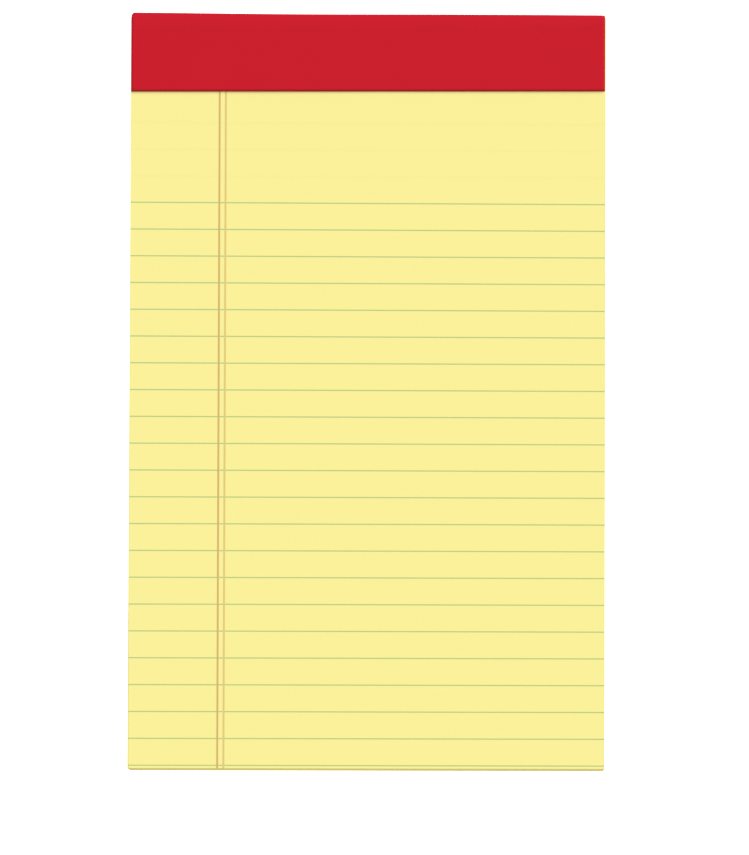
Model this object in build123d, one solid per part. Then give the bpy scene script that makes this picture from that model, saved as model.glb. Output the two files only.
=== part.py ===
from build123d import *
import os

# A small top-bound writing pad, lying on its back. Millimetres.
# +X runs across the ruled face, +Y towards the bound head, +Z up out of the ruled face.
# Zero is under the middle of the pad, on the surface it lies on.

# The sheets, as one block
pad_width = 127.0
sheet_length = 201.2          # from the head to the foot of the top sheet
sheet_count = 50
sheet_thickness = 0.09
foot_lean = 0.7               # how much further out the lowest sheet reaches at the foot
worn_corner_radius = 1.0      # the two left-hand corners, seen from above

# The stiff board behind the sheets
board_thickness = 0.7

# The soft tape that is folded over the head
tape_thickness = 0.4
tape_edge_radius = 0.3        # its folds, ends and free edges are pressed round on the outside
tape_corner_radius = 0.4      # the corners of the two flaps, seen from above
front_flap_left = 21.25       # from the outside of the head; the tape is laid on slightly crooked
front_flap_right = 20.45
back_flap = 19.0
tape_right_inset = 0.2        # the tape stops this far short of the right-hand edge

# The wire staples under the tape
staple_spacing = 64.0
staple_inset = 10.5           # from the outside of the head to the wire
staple_width = 12.7           # between the centres of the two legs
wire_diameter = 0.5
wire_bend_radius = 0.5        # at the centre of the wire
clinch_length = 4.5           # from the centre of a leg to its cut end
wire_clearance = 0.03

# Levels, from the surface that the pad lies on
board_bottom = tape_thickness
pages_bottom = board_bottom + board_thickness
pages_top = pages_bottom + sheet_count * sheet_thickness
tape_top = pages_top + tape_thickness

# Places along the length, with the middle of the whole pad at zero
pad_length = tape_thickness + sheet_length + foot_lean
head_outside = pad_length / 2
head_inside = head_outside - tape_thickness
top_sheet_foot = head_inside - sheet_length
lowest_foot = top_sheet_foot - foot_lean
staple_line = head_outside - staple_inset

# Places across the width
left_side = -pad_width / 2
right_side = pad_width / 2
tape_right = right_side - tape_right_inset

# Levels of the wire's centre, just inside the faces that the tape covers
wire_radius = wire_diameter / 2
bridge_level = pages_top - wire_clearance - wire_radius
clinch_level = board_bottom + wire_clearance + wire_radius
slot_radius = wire_radius + wire_clearance


def block(x_range, y_range, z_range):
    """A rectangular block between three pairs of limits."""
    low = Vector(x_range[0], y_range[0], z_range[0])
    size = Vector(x_range[1], y_range[1], z_range[1]) - low
    corner = (Align.MIN, Align.MIN, Align.MIN)
    return Pos(low.X, low.Y, low.Z) * Box(size.X, size.Y, size.Z, align=corner)


def worn_outline(right):
    """The pad's outline from above up to this right-hand side, as a tall block.

    Its two left-hand corners are worn round.
    """
    whole = block((left_side, right), (lowest_foot, head_outside), (0, tape_top))
    left_corners = whole.edges().filter_by(Axis.Z).group_by(Axis.X)[0]
    return fillet(left_corners, worn_corner_radius)


def bent_wire(centre, radius, end_length):
    """A round bar bent as a closed staple: turned-in end, leg, bridge, leg, turned-in end."""
    left_leg = centre - staple_width / 2
    right_leg = centre + staple_width / 2
    path = FilletPolyline(
        (left_leg + end_length, staple_line, clinch_level),
        (left_leg, staple_line, clinch_level),
        (left_leg, staple_line, bridge_level),
        (right_leg, staple_line, bridge_level),
        (right_leg, staple_line, clinch_level),
        (right_leg - end_length, staple_line, clinch_level),
        radius=wire_bend_radius,
    )
    start = Plane(origin=path @ 0, z_dir=path % 0)
    return sweep(start * Circle(radius), path=path)


def staple_slot(centre):
    """The room that one staple takes: its wire with clearance, open to the faces under the tape."""
    left_leg = centre - staple_width / 2
    right_leg = centre + staple_width / 2
    slot_end = clinch_length + wire_clearance
    across_wire = (staple_line - slot_radius, staple_line + slot_radius)
    leg_to_leg = (left_leg - slot_radius, right_leg + slot_radius)
    left_clinch = (left_leg - slot_radius, left_leg + slot_end)
    right_clinch = (right_leg - slot_end, right_leg + slot_radius)
    slot = bent_wire(centre, slot_radius, slot_end)
    slot += block(leg_to_leg, across_wire, (bridge_level, tape_top))
    slot += block(left_clinch, across_wire, (0, clinch_level))
    slot += block(right_clinch, across_wire, (0, clinch_level))
    return slot


def make_page_block():
    """All the sheets as one block, with a foot that leans out towards the board."""
    side_view = Polyline(
        (head_inside, pages_bottom),
        (head_inside, pages_top),
        (top_sheet_foot, pages_top),
        (lowest_foot, pages_bottom),
        close=True,
    )
    sheets = extrude(Plane.YZ * make_face(side_view), pad_width / 2, both=True)
    return sheets & worn_outline(right_side)


def make_backing_board():
    """One flat board under the sheets."""
    board = block((left_side, right_side), (lowest_foot, head_inside), (board_bottom, pages_bottom))
    return board & worn_outline(right_side)


def make_binding_tape():
    """One strip folded over the head, with a flap on the front and a flap on the back."""
    inside = block((left_side, tape_right), (lowest_foot, head_inside), (board_bottom, pages_top))
    past_back_flap = block(
        (left_side, right_side), (lowest_foot, head_outside - back_flap), (0, board_bottom)
    )
    past_front_flap = Polyline(
        (left_side, head_outside - front_flap_left),
        (right_side, head_outside - front_flap_right),
        (right_side, lowest_foot),
        (left_side, lowest_foot),
        close=True,
    )
    front_trim = extrude(Pos(0, 0, pages_top) * make_face(past_front_flap), tape_thickness)
    tape = worn_outline(tape_right) - inside - past_back_flap - front_trim
    upright_edges = tape.edges().filter_by(Axis.Z)
    flap_corners = [edge for edge in upright_edges if edge.length < tape_top / 2]
    tape = fillet(flap_corners, tape_corner_radius)
    rims = tape.edges().group_by(Axis.Z)[0] + tape.edges().group_by(Axis.Z)[-1]
    return fillet(rims, tape_edge_radius)


staple_centres = [-staple_spacing / 2, staple_spacing / 2]
staples = [bent_wire(centre, wire_radius, clinch_length) for centre in staple_centres]
staple_slots = [staple_slot(centre) for centre in staple_centres]

pieces = {
    "page_block": make_page_block() - staple_slots,
    "backing_board": make_backing_board() - staple_slots,
    "binding_tape": make_binding_tape(),
    "binding_staples": Compound(staples),
}

os.makedirs("parts", exist_ok=True)
for name, piece in pieces.items():
    export_step(piece, f"parts/{name}.step")
    box = piece.bounding_box()
    size = f"{box.size.X:.2f} x {box.size.Y:.2f} x {box.size.Z:.2f} mm"
    print(f"{name}: {len(piece.solids())} solid(s), {size}, {piece.volume:.2f} cubic mm")
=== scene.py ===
# %% [markdown]
# # A ruled writing pad
# The construction is already made: a block of sheets, a stiff board, a folded tape and two wire
# staples. This script gives them their looks. First it loads the construction as a frame that
# nothing here moves; the boxes of its parts give the sizes below.

# %% Load the frame
import math
import random
import bpy
from mathutils import Euler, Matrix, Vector


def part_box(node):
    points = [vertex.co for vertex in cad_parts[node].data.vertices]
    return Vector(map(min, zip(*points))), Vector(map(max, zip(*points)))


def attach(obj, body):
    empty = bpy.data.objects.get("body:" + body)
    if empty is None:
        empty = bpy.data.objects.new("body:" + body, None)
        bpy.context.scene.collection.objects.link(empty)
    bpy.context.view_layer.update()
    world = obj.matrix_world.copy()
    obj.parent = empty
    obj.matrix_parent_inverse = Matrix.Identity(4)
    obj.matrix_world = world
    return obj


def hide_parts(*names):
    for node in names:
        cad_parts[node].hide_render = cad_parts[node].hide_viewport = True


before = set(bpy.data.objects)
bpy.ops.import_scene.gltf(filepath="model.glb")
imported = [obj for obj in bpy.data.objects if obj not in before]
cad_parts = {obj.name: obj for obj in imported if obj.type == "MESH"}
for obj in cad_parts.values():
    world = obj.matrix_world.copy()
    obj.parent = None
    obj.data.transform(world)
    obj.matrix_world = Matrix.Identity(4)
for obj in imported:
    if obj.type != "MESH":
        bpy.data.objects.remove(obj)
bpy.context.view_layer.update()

# %% [markdown]
# All sizes come from the frame where it has them. The rest are small things that the construction
# leaves out, such as the width of a printed line. Blender counts in metres, so one name for a
# millimetre keeps the numbers readable.

# %% Sizes
MM = 0.001
pages_low, pages_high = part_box("page_block")
tape_low, tape_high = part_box("binding_tape")
board_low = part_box("backing_board")[0]

left_side, right_side = pages_low.x, pages_high.x
head_outside = tape_high.y
head_inside = pages_high.y
lowest_foot = pages_low.y
foot_lean = 0.7 * MM
top_foot = lowest_foot + foot_lean
paper_top = pages_high.z
sheet_count = 50
sheet_pitch = (pages_high.z - pages_low.z) / sheet_count
print("sheets", sheet_count, "pitch in mm", round(sheet_pitch / MM, 3))

chance = random.Random(8)

# %% [markdown]
# ## Shader groups
# Paper, board and tape are all made of fibres, seen at different scales. The effect is built once
# as a node group with its own inputs: fine fibres that cross, a cloudy unevenness from the way
# the pulp settles, and a height for the bump. Each material then places the group with its own
# colours and values.

# %% A helper that makes a node group
def new_group(name, inputs, outputs):
    """A shader node group with these sockets, as (name, kind, default) and (name, kind)."""
    group = bpy.data.node_groups.new(name, "ShaderNodeTree")
    for label, kind, default in inputs:
        socket = group.interface.new_socket(label, in_out="INPUT", socket_type=kind)
        socket.default_value = default
    for label, kind in outputs:
        group.interface.new_socket(label, in_out="OUTPUT", socket_type=kind)
    return group, group.nodes.new("NodeGroupInput"), group.nodes.new("NodeGroupOutput")


# %% [markdown]
# Three small helpers keep the shader cells readable: one lays a noise over a piece, one does
# arithmetic on masks, and one mixes two colours.

# %% Helpers for nodes
def noise(tree, vector, scale, detail, stretch=(1, 1, 1)):
    """A noise texture over the piece's own coordinates, stretched along its axes."""
    mapping = tree.nodes.new("ShaderNodeMapping")
    mapping.inputs["Scale"].default_value = [scale * s for s in stretch]
    texture = tree.nodes.new("ShaderNodeTexNoise")
    texture.inputs["Scale"].default_value = 1.0
    texture.inputs["Detail"].default_value = detail
    tree.links.new(vector, mapping.inputs["Vector"])
    tree.links.new(mapping.outputs["Vector"], texture.inputs["Vector"])
    return texture.outputs["Fac"]


def calculate(tree, operation, *values):
    """A math node; each value is a socket or a number."""
    node = tree.nodes.new("ShaderNodeMath")
    node.operation = operation
    for socket, value in zip(node.inputs, values):
        if hasattr(value, "links"):
            tree.links.new(value, socket)
        else:
            socket.default_value = value
    return node.outputs["Value"]


def mix_colours(tree, share, first, second, blend="MIX"):
    """A colour mix node; share, first and second are sockets or values."""
    node = tree.nodes.new("ShaderNodeMix")
    node.data_type = "RGBA"
    node.blend_type = blend
    sockets = (node.inputs[0], node.inputs[6], node.inputs[7])
    for socket, value in zip(sockets, (share, first, second)):
        if hasattr(value, "links"):
            tree.links.new(value, socket)
        else:
            socket.default_value = value
    return node.outputs[2]


# %% [markdown]
# The fibre group draws two sets of noise, each stretched a long way in one direction, and keeps
# the brighter of the two, which looks like fibres lying across each other. A third, coarse
# noise is the cloudiness seen when a sheet is held to the light.

# %% The fibre group
fibre_fineness = 1800
fibre_stretch = 0.16
cloud_fineness = 90


def make_fibre_group():
    """Colour and Height of a fibrous sheet: crossing fibres over a cloudy ground."""
    group, inlet, outlet = new_group(
        "fibres",
        [
            ("Colour", "NodeSocketColor", (1, 1, 1, 1)),
            ("Fibre Colour", "NodeSocketColor", (0.5, 0.5, 0.5, 1)),
            ("Cloud Share", "NodeSocketFloat", 0.1),
            ("Fibre Share", "NodeSocketFloat", 0.1),
        ],
        [("Colour", "NodeSocketColor"), ("Height", "NodeSocketFloat")],
    )
    place = group.nodes.new("ShaderNodeTexCoord").outputs["Object"]
    along = noise(group, place, fibre_fineness, 3, (1, fibre_stretch, 1))
    across = noise(group, place, fibre_fineness, 3, (fibre_stretch, 1, 1))
    cloud = noise(group, place, cloud_fineness, 4)
    fibres = calculate(group, "MAXIMUM", along, across)
    fibre_mask = calculate(group, "MULTIPLY", fibres, inlet.outputs["Fibre Share"])
    cloud_mask = calculate(group, "MULTIPLY", cloud, inlet.outputs["Cloud Share"])
    clouded = mix_colours(group, cloud_mask, inlet.outputs["Colour"], inlet.outputs["Fibre Colour"])
    coloured = mix_colours(group, fibre_mask, clouded, inlet.outputs["Fibre Colour"])
    group.links.new(coloured, outlet.inputs["Colour"])
    cloud_height = calculate(group, "MULTIPLY", cloud, 0.5)
    height = calculate(group, "ADD", fibres, cloud_height)
    group.links.new(height, outlet.inputs["Height"])
    return group


fibre_group = make_fibre_group()
print("group", fibre_group.name, "with", len(fibre_group.nodes), "nodes")

# %% [markdown]
# A fleck group scatters short dark and pale specks, as the shredded waste paper in grey board
# shows. A Voronoi texture gives one random colour to each cell, and only the rare cells whose
# value is high enough become a speck.

# %% The fleck group
fleck_cells = 900
fleck_radius = 0.42


def make_fleck_group():
    """Mask of scattered specks; Rarity near 1 leaves only a few."""
    group, inlet, outlet = new_group(
        "flecks", [("Rarity", "NodeSocketFloat", 0.9)], [("Mask", "NodeSocketFloat")]
    )
    place = group.nodes.new("ShaderNodeTexCoord").outputs["Object"]
    cells = group.nodes.new("ShaderNodeTexVoronoi")
    cells.inputs["Scale"].default_value = fleck_cells
    group.links.new(place, cells.inputs["Vector"])
    split = group.nodes.new("ShaderNodeSeparateColor")
    group.links.new(cells.outputs["Color"], split.inputs["Color"])
    rare = calculate(group, "GREATER_THAN", split.outputs[0], inlet.outputs["Rarity"])
    core = calculate(group, "LESS_THAN", cells.outputs["Distance"], fleck_radius)
    group.links.new(calculate(group, "MULTIPLY", rare, core), outlet.inputs["Mask"])
    return group


fleck_group = make_fleck_group()
print("group", fleck_group.name, "with", len(fleck_group.nodes), "nodes")

# %% [markdown]
# ## Materials
# Every finish starts from one recipe: a Principled shader whose colour and bump come from the
# fibre group. Values that are the same all over, such as the roughness of paper, are set straight
# on the shader.

# %% A fibrous material
bump_strength = 0.6


def fibrous(name, colour, fibre_colour, cloud, fibre, roughness, bump_mm, specular=0.25):
    """A material of fibres: its two colours, how much of each effect, and the bump's depth."""
    material = bpy.data.materials.new(name)
    material.use_nodes = True
    tree = material.node_tree
    shader = tree.nodes["Principled BSDF"]
    shader.inputs["Roughness"].default_value = roughness
    shader.inputs["Specular IOR Level"].default_value = specular
    fibres = tree.nodes.new("ShaderNodeGroup")
    fibres.node_tree = fibre_group
    fibres.inputs["Colour"].default_value = (*colour, 1)
    fibres.inputs["Fibre Colour"].default_value = (*fibre_colour, 1)
    fibres.inputs["Cloud Share"].default_value = cloud
    fibres.inputs["Fibre Share"].default_value = fibre
    bump = tree.nodes.new("ShaderNodeBump")
    bump.inputs["Distance"].default_value = bump_mm * MM
    bump.inputs["Strength"].default_value = bump_strength
    tree.links.new(fibres.outputs["Colour"], shader.inputs["Base Color"])
    tree.links.new(fibres.outputs["Height"], bump.inputs["Height"])
    tree.links.new(bump.outputs["Normal"], shader.inputs["Normal"])
    return material


# %% [markdown]
# Paper, cut edges, tape and inks differ only in their two colours, in how strong the fibres
# show, and in how rough they are. Ink soaks into paper, so each ink keeps much of the paper's
# grain. The show-through is hardly darker than the paper itself.

# %% Paper, tape and inks
yellow_paper = fibrous(
    "yellow_paper", (0.855, 0.777, 0.285), (0.76, 0.68, 0.22), 0.10, 0.10, 0.85, 0.004
)
red_tape = fibrous(
    "red_tape", (0.54, 0.0058, 0.0175), (0.44, 0.005, 0.015), 0.20, 0.20, 0.55, 0.005, 0.12
)
cut_paper = fibrous(
    "cut_paper", (0.84, 0.77, 0.43), (0.74, 0.66, 0.33), 0.15, 0.25, 0.9, 0.006
)
rule_ink = fibrous(
    "rule_ink", (0.36, 0.50, 0.19), (0.55, 0.62, 0.22), 0.15, 0.35, 0.80, 0.006
)
margin_ink = fibrous(
    "margin_ink", (0.58, 0.385, 0.13), (0.66, 0.46, 0.16), 0.15, 0.35, 0.80, 0.006
)
pale_margin_ink = fibrous(
    "pale_margin_ink", (0.66, 0.505, 0.17), (0.73, 0.58, 0.2), 0.15, 0.35, 0.80, 0.006
)
show_through = fibrous(
    "show_through", (0.84, 0.767, 0.28), (0.75, 0.675, 0.217), 0.10, 0.10, 0.85, 0.004
)
print("fibrous finishes made with bump strength", bump_strength)

# %% [markdown]
# The tape's rounded rim gets painted shade: a darker red where the surface turns down, away from
# the light. A mask made from how far the surface leans away from level darkens just the rounded rim.

# %% The tape's painted rim shade
def paint_rim_shade(material, rim_shade_colour, share):
    """Mixes painted shade, a darker colour, in where the surface turns down at an edge."""
    tree = material.node_tree
    shader = tree.nodes["Principled BSDF"]
    colour = shader.inputs["Base Color"].links[0].from_socket
    split = tree.nodes.new("ShaderNodeSeparateXYZ")
    geometry = tree.nodes.new("ShaderNodeNewGeometry")
    tree.links.new(geometry.outputs["Normal"], split.inputs["Vector"])
    level = calculate(tree, "ABSOLUTE", split.outputs["Z"])
    leaning = calculate(tree, "SUBTRACT", 1.0, level)
    # The share of painted shade grows the further the surface leans away from level.
    mask = calculate(tree, "MINIMUM", calculate(tree, "MULTIPLY", leaning, 2.2), share)
    tree.links.new(mix_colours(tree, mask, colour, rim_shade_colour), shader.inputs["Base Color"])


# Painted shade on the tape's rounded rim: darkest red where it turns down furthest, away from the light.
paint_rim_shade(red_tape, (0.13, 0.006, 0.016, 1), 0.85)

# %% [markdown]
# The board is the same fibrous recipe in grey-brown, with two sets of specks mixed over its
# colour: dark ones from printed waste and pale ones from white paper.

# %% Grey board
def make_grey_board():
    """Fibrous grey-brown board with dark and pale specks."""
    material = fibrous("grey_board", (0.30, 0.235, 0.165), (0.20, 0.15, 0.10), 0.5, 0.4, 0.9, 0.03)
    tree = material.node_tree
    shader = tree.nodes["Principled BSDF"]
    colour = shader.inputs["Base Color"].links[0].from_socket
    for rarity, speck in ((0.93, (0.09, 0.08, 0.075, 1)), (0.86, (0.46, 0.42, 0.35, 1))):
        flecks = tree.nodes.new("ShaderNodeGroup")
        flecks.node_tree = fleck_group
        flecks.inputs["Rarity"].default_value = rarity
        share = calculate(tree, "MULTIPLY", flecks.outputs["Mask"], 0.7)
        colour = mix_colours(tree, share, colour, speck)
    tree.links.new(colour, shader.inputs["Base Color"])
    return material


grey_board = make_grey_board()

# %% [markdown]
# Staple wire is drawn through a die and thinly coated with zinc. The drawing leaves fine lines
# along the wire, so the roughness is a noise stretched along the length of each staple.

# %% Zinc wire
def make_zinc_wire():
    """Bright coated wire with fine drawing lines in its roughness."""
    material = bpy.data.materials.new("zinc_wire")
    material.use_nodes = True
    tree = material.node_tree
    shader = tree.nodes["Principled BSDF"]
    shader.inputs["Metallic"].default_value = 1.0
    place = tree.nodes.new("ShaderNodeTexCoord").outputs["Object"]
    lines = noise(tree, place, 9000, 2, (0.05, 1, 0.3))
    colour = mix_colours(tree, lines, (0.55, 0.56, 0.58, 1), (0.74, 0.74, 0.75, 1))
    roughness = calculate(tree, "MULTIPLY_ADD", lines, 0.3, 0.2)
    tree.links.new(colour, shader.inputs["Base Color"])
    tree.links.new(roughness, shader.inputs["Roughness"])
    return material


zinc_wire = make_zinc_wire()
print("materials", sorted(bpy.data.materials.keys()))

# %% [markdown]
# ## The sheets
# A pad's block is a pile of thin sheets, cut together but never quite true. Each sheet here is its
# own closed slab with a hair of air above the next, so that the cut sides show real layers. The
# pile was knocked a little at the foot: the lower sheets reach further out, in a few small lifts,
# and turn slightly to the left. The left corners are worn round and the right ones are crisp.

# %% One sheet's outline
worn_radius = 1.0 * MM
crisp_radius = 0.12 * MM
corner_steps = 6


def corner(centre_x, centre_y, radius, start):
    """Points round one corner, a quarter turn counter-clockwise from the start angle."""
    turns = [math.radians(start + 90 * i / corner_steps) for i in range(corner_steps + 1)]
    return [(centre_x + radius * math.cos(t), centre_y + radius * math.sin(t)) for t in turns]


def sheet_outline(left, right, foot, head, left_radius, right_radius):
    """The outline of a sheet from above, counter-clockwise."""
    return (
        corner(right - right_radius, head - right_radius, right_radius, 0)
        + corner(left + left_radius, head - left_radius, left_radius, 90)
        + corner(left + left_radius, foot + left_radius, left_radius, 180)
        + corner(right - right_radius, foot + right_radius, right_radius, 270)
    )


# %% [markdown]
# A slab is the outline twice, once at each height, with a wall of quads between. Many slabs go
# into one mesh, which keeps the pile one piece, as it is one block in the construction.

# %% Slabs into one mesh
def add_slab(points, faces, outline, low, high):
    """Appends one closed slab to lists of points and faces."""
    first, count = len(points), len(outline)
    points += [(x, y, low) for x, y in outline] + [(x, y, high) for x, y in outline]
    faces.append([first + i for i in reversed(range(count))])
    faces.append([first + count + i for i in range(count)])
    for i in range(count):
        j = (i + 1) % count
        faces.append([first + i, first + j, first + count + j, first + count + i])


def new_piece(name, points, faces, material, smooth=False):
    """A mesh object from points and faces, with its material, riding on the pad's only body."""
    mesh = bpy.data.meshes.new(name)
    mesh.from_pydata(points, [], faces)
    mesh.validate()
    if smooth:
        mesh.shade_smooth()
    piece = bpy.data.objects.new(name, mesh)
    bpy.context.scene.collection.objects.link(piece)
    piece.data.materials.append(material)
    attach(piece, "root")
    print(name, len(points), "points", len(faces), "faces")
    return piece


# %% [markdown]
# Each sheet's foot comes from a short list of lifts: the sheet's number, counted down from the
# top, and how far it stands out. Between two lifts the reach grows evenly. A little looseness
# from the seeded chance keeps the layers from lining up like a machined block. The first sheets
# are fresher than those below, so their corners are less worn.

# %% The pile under the top sheet
paper_thickness = 0.985 * sheet_pitch
head_room = 0.35 * MM
lifts = [(0, 0.0), (2, 0.0), (3, 0.30 * MM), (14, 0.42 * MM), (16, 0.58 * MM), (50, 0.70 * MM)]
left_turn = 0.22 * MM
looseness = 0.035 * MM
fresh_sheets = 3
fresh_wear = 0.55


def reach(index):
    """How far a sheet stands out at the foot, from the lifts, counted down from the top sheet."""
    for (first, low), (last, high) in zip(lifts, lifts[1:]):
        if index <= last:
            return low + (high - low) * (index - first) / (last - first)
    return lifts[-1][1]


def turned(outline, shift):
    """The outline sheared about its head, so that its foot moves by shift along X."""
    length = head_inside - lowest_foot
    return [(x + shift * (head_inside - y) / length, y) for x, y in outline]


def sheet_slab(points, faces, index):
    """One sheet of the pile, counted down from the top sheet."""
    jitter = looseness if index else 0.0
    foot = top_foot - reach(index) + chance.uniform(-jitter, jitter)
    side = chance.uniform(-jitter, jitter)
    radius = worn_radius * (fresh_wear if index < fresh_sheets else 1.0)
    head = head_inside - head_room
    outline = sheet_outline(left_side + side, right_side + side, foot, head, radius, crisp_radius)
    high = paper_top - index * sheet_pitch
    add_slab(points, faces, turned(outline, -left_turn * index / sheet_count), high - paper_thickness, high)


pile_points, pile_faces = [], []
for index in range(1, sheet_count):
    sheet_slab(pile_points, pile_faces, index)
sheet_pile = new_piece("sheet_pile", pile_points, pile_faces, yellow_paper)

top_points, top_faces = [], []
sheet_slab(top_points, top_faces, 0)
top_sheet = new_piece("top_sheet", top_points, top_faces, yellow_paper)

# %% [markdown]
# A cut edge looks paler than a sheet's face, because light runs into the layers and scatters out
# of them again. So the upright faces of every sheet get a paler paper of their own.

# %% Paler cut edges
for sheets in (sheet_pile, top_sheet):
    sheets.data.materials.append(cut_paper)
    for face in sheets.data.polygons:
        face.material_index = 1 if abs(face.normal.z) < 0.5 else 0
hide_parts("page_block")
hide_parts("page_block")

# %% [markdown]
# ## The ruling
# The lines are printed before the sheets are cut, so they run off both sides. A print is a field
# of colour. A shader could draw it, but fine lines blur when a material is baked to a small image,
# so each line is a film of ink with real edges: a closed slab about a hundredth of a millimetre
# thick, half sunk in the top sheet. The first line is two inches below the head, and the pitch is
# nine thirty-seconds of an inch.

# %% Ruled lines
ink_film = 0.006 * MM
rule_width = 0.30 * MM
rule_pitch = 25.4 / 32 * 9 * MM
first_rule = 50.8 * MM
rule_count = 22


def line_slab(points, faces, x_range, y_range, films=1):
    """One straight line of ink on the top sheet, standing this many films high."""
    (left, right), (low, high) = x_range, y_range
    outline = [(right, high), (left, high), (left, low), (right, low)]
    add_slab(points, faces, outline, paper_top - ink_film, paper_top + films * ink_film)


rule_points, rule_faces = [], []
rule_heights = [head_outside - first_rule - i * rule_pitch for i in range(rule_count)]
for y in rule_heights:
    line_slab(rule_points, rule_faces, (left_side, right_side), (y - rule_width / 2, y + rule_width / 2))
new_piece("ruled_lines", rule_points, rule_faces, rule_ink)

# %% [markdown]
# The margin is two fine lines, a stronger and a paler one, from under the tape to the foot. They
# are printed over the ruling, so their film stands one film higher. Three ghost lines above
# the first rule are the ruling on the sheet's other side, which just shows through.

# %% Margin lines and show-through
margin_width = 0.50 * MM
margins = [
    ("margin_line", 23.7 * MM, margin_ink),
    ("second_margin_line", 25.35 * MM, pale_margin_ink),
]
under_tape = 3 * MM
front_flap = 20.45 * MM
print_head = head_outside - front_flap + under_tape
for name, inset, ink in margins:
    x = left_side + inset
    points, faces = [], []
    sides = (x - margin_width / 2, x + margin_width / 2)
    line_slab(points, faces, sides, (top_foot, print_head), films=2)
    new_piece(name, points, faces, ink)

ghost_count = 3
ghost_points, ghost_faces = [], []
for i in range(1, ghost_count + 1):
    y = rule_heights[0] + i * rule_pitch
    line_slab(ghost_points, ghost_faces, (left_side, right_side), (y - rule_width, y + rule_width))
new_piece("ghost_lines", ghost_points, ghost_faces, show_through)

# %% [markdown]
# ## The tape
# The tape is soft and four tenths of a millimetre thick once it is glued over the staples, and the
# press that wraps it leaves every outer edge round. It is built as pairs of points, outside and
# inside, along the strip's path: front flap, fold, spine, fold, back flap. That path is repeated at
# stations across the pad, so that each can be nudged: the ends sink as they round over, the left
# corner is worn, the free edge is laid on slightly crooked, and the fold is a little hollow.

# %% The tape's path
edge_round = 0.34 * MM
edge_width = 0.9 * MM
flap_left = 21.25 * MM
flap_right = front_flap
back_flap = 19.0 * MM
inner_round = 0.05 * MM
end_softness = 0.8
hollow_depth = 0.22 * MM
hollow_middle = -20 * MM
hollow_spread = 34 * MM
slow_ripple = 0.010 * MM
quick_ripple = 0.004 * MM
fold_points = 7
fold_step = 15
tape_left, tape_right = tape_low.x, tape_high.x
tape_width = tape_right - tape_left
back_low, front_high = tape_low.z, tape_high.z


def sink(distance):
    """How far a rounded edge has sunk at this distance from its end."""
    if distance >= edge_width:
        return 0.0
    left_over = 1 - distance / edge_width
    return edge_round * (1 - math.sqrt(max(1 - left_over ** 2, 0.0)))


round_steps = [edge_width * (1 - math.cos(math.radians(a))) for a in (0, 15, 30, 45, 60, 75, 90)]
flat_steps = [1.2 * MM, 3 * MM, 6 * MM, 10 * MM, 14 * MM, 17 * MM]


def ripple(x, y):
    """The slight unevenness of a glued strip, as a height."""
    slow = math.sin(x * 71 + 1.3) * math.cos(y * 190 + x * 23)
    quick = math.sin(x * 310 + y * 120)
    return slow_ripple * slow + quick_ripple * quick


def station(x):
    """Outside and inside points of the strip at one place across the pad."""
    from_left, from_right = x - tape_left, tape_right - x
    end_sink = sink(min(from_left, from_right)) * end_softness
    worn = worn_radius - math.sqrt(max(worn_radius ** 2 - max(worn_radius - from_left, 0) ** 2, 0.0))
    hollow = hollow_depth * math.exp(-((x - hollow_middle) / hollow_spread) ** 2)
    head = head_outside - worn - hollow
    spine = head - (head_outside - head_inside)
    flap = flap_left + (flap_right - flap_left) * from_left / tape_width
    outside, inside = [], []
    for step in round_steps + flat_steps:
        y = head_outside - flap + step
        lower = sink(step)
        outside.append((x, y, front_high - min(lower + end_sink, edge_round) + ripple(x, y)))
        inside.append((x, y, paper_top + 2 * ink_film))
    for middle, start in ((front_high - end_sink - edge_round, 90), (back_low + end_sink + edge_round, 0)):
        corner_z = paper_top + 2 * ink_film if start else board_low.z
        inner_middle = corner_z - inner_round if start else corner_z + inner_round
        for i in range(fold_points):
            turn = math.radians(start - fold_step * i)
            outer_y = head - end_sink - edge_round + edge_round * math.cos(turn)
            inner_y = spine - inner_round + inner_round * math.cos(turn)
            outside.append((x, outer_y, middle + edge_round * math.sin(turn)))
            inside.append((x, inner_y, inner_middle + inner_round * math.sin(turn)))
    for step in reversed(round_steps + flat_steps[:-1]):
        y = head_outside - back_flap + step
        lower = sink(step)
        outside.append((x, y, back_low + min(lower + end_sink, edge_round)))
        inside.append((x, y, board_low.z))
    return outside, inside


# %% [markdown]
# The stations stand close together at both ends, where the tape rounds over, and evenly between.
# Quads join each station to the next, outside and inside. Two strips close the free edges and a
# cap closes each end, so the tape is one watertight skin.

# %% Stations across the pad
station_count = 60
corner_places = [edge_width, 0.5 * MM, 0.7 * MM, 0.85 * MM, worn_radius, 1.6 * MM]
sharp_angle = math.radians(50)


def tape_stations():
    """Places across the pad, close together where an end rounds over or the corner is worn."""
    ends = round_steps[:-1] + corner_places
    middle = [tape_left + tape_width * i / station_count for i in range(1, station_count)]
    return sorted([tape_left + s for s in ends] + middle + [tape_right - s for s in ends])


tape_points, tape_faces = [], []
columns = [station(x) for x in tape_stations()]
per_side = len(columns[0][0])
for outside, inside in columns:
    tape_points += outside + inside
column_size = 2 * per_side
for c in range(len(columns) - 1):
    here, there = c * column_size, (c + 1) * column_size
    for i in range(per_side - 1):
        tape_faces.append([here + i, here + i + 1, there + i + 1, there + i])
        low_here, low_there = here + per_side + i, there + per_side + i
        tape_faces.append([low_here, low_there, low_there + 1, low_here + 1])
    last = per_side - 1
    tape_faces.append([here, there, there + per_side, here + per_side])
    tape_faces.append([here + last, here + per_side + last, there + per_side + last, there + last])
for first, turned_over in ((0, False), ((len(columns) - 1) * column_size, True)):
    for i in range(per_side - 1):
        cap = [first + i, first + per_side + i, first + per_side + i + 1, first + i + 1]
        tape_faces.append(cap[::-1] if turned_over else cap)
tape_faces = [face[::-1] for face in tape_faces]
tape_strip = new_piece("tape_strip", tape_points, tape_faces, red_tape, smooth=True)
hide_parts("binding_tape")
tape_strip.data.set_sharp_from_angle(angle=sharp_angle)

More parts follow.
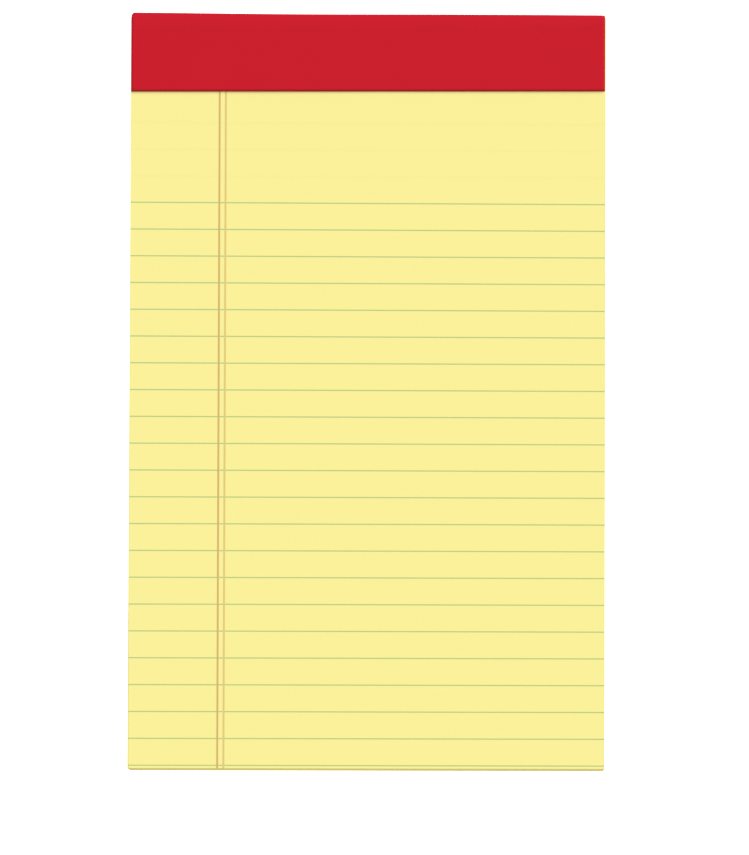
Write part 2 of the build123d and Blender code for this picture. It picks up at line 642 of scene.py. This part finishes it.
# %% [markdown]
# ## Board and staples
# The board and the staples already have their true shape in the construction, so they keep their
# own meshes and only get a finish.

# %% Finishes for the construction's own meshes
for node, material in (("backing_board", grey_board), ("binding_staples", zinc_wire)):
    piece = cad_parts[node]
    piece.data.materials.clear()
    piece.data.materials.append(material)
    print(node, "gets", material.name)

# %% [markdown]
# ## Floor, light and camera
# The pad lies on a plain white floor that gives off as much light as white paper does in full
# light, like the light table of a product picture. No shadow can darken it, and it lights the cut
# sides from below.

# %% The floor
floor_size = 3.0
floor_level = -0.00002
floor_mesh = bpy.data.meshes.new("floor")
corners = [(-1, -1), (1, -1), (1, 1), (-1, 1)]
floor_points = [(x * floor_size, y * floor_size, floor_level) for x, y in corners]
floor_mesh.from_pydata(floor_points, [], [[0, 1, 2, 3]])
floor = bpy.data.objects.new("floor", floor_mesh)
bpy.context.scene.collection.objects.link(floor)
floor_paint = bpy.data.materials.new("floor_paint")
floor_paint.use_nodes = True
floor_shader = floor_paint.node_tree.nodes["Principled BSDF"]
floor_shader.inputs["Base Color"].default_value = (0.93, 0.93, 0.93, 1)
floor_shader.inputs["Roughness"].default_value = 0.9
floor_shader.inputs["Specular IOR Level"].default_value = 0.0
floor_shader.inputs["Emission Color"].default_value = (1, 1, 1, 1)
floor_shader.inputs["Emission Strength"].default_value = 1.0
floor.data.materials.append(floor_paint)

# %% [markdown]
# A big soft sun over the head and the right-hand side draws the tape's edge and its shadow, and an
# even white sky fills the rest. A sun has no fall-off, so the page is lit alike from end to end.

# %% The lights
sun = bpy.data.lights.new("soft_sun", "SUN")
sun.energy = 3.85
sun.angle = math.radians(22)
sun_object = bpy.data.objects.new("soft_sun", sun)
bpy.context.scene.collection.objects.link(sun_object)
sun_height, sun_bearing = math.radians(20), math.radians(35)
towards_sun = Vector((
    math.cos(sun_height) * math.sin(sun_bearing),
    math.cos(sun_height) * math.cos(sun_bearing),
    math.sin(sun_height),
))
sun_object.rotation_mode = "QUATERNION"
sun_object.rotation_quaternion = towards_sun.to_track_quat("Z", "Y")

world = bpy.data.worlds.new("even_sky")
bpy.context.scene.world = world
world.use_nodes = True
world.node_tree.nodes["Background"].inputs["Color"].default_value = (1, 1, 1, 1)
world.node_tree.nodes["Background"].inputs["Strength"].default_value = 0.72
bpy.context.scene.view_settings.view_transform = "Standard"

# %% [markdown]
# The camera looks down from about a metre and a half away through a long lens, leaning very
# slightly, so that the page keeps its true shape.

# %% The camera
camera_data = bpy.data.cameras.new("camera")
camera = bpy.data.objects.new("camera", camera_data)
bpy.context.scene.collection.objects.link(camera)
bpy.context.scene.camera = camera
camera_data.sensor_width = 36.0
camera_data.lens = 241.5
camera_data.clip_start, camera_data.clip_end = 0.1, 10.0
camera_distance = 1.531
lean = Euler((math.radians(-1.66), math.radians(1.94), math.radians(-0.232))).to_matrix()
page_middle = Vector((0, (head_outside + top_foot) / 2, paper_top))
offset = Vector((1.79 * MM, -9.89 * MM, camera_distance))
camera.rotation_mode = "QUATERNION"
camera.rotation_quaternion = lean.transposed().to_quaternion()
camera.location = page_middle + lean.transposed() @ offset
print("camera at", tuple(round(v, 4) for v in camera.location))
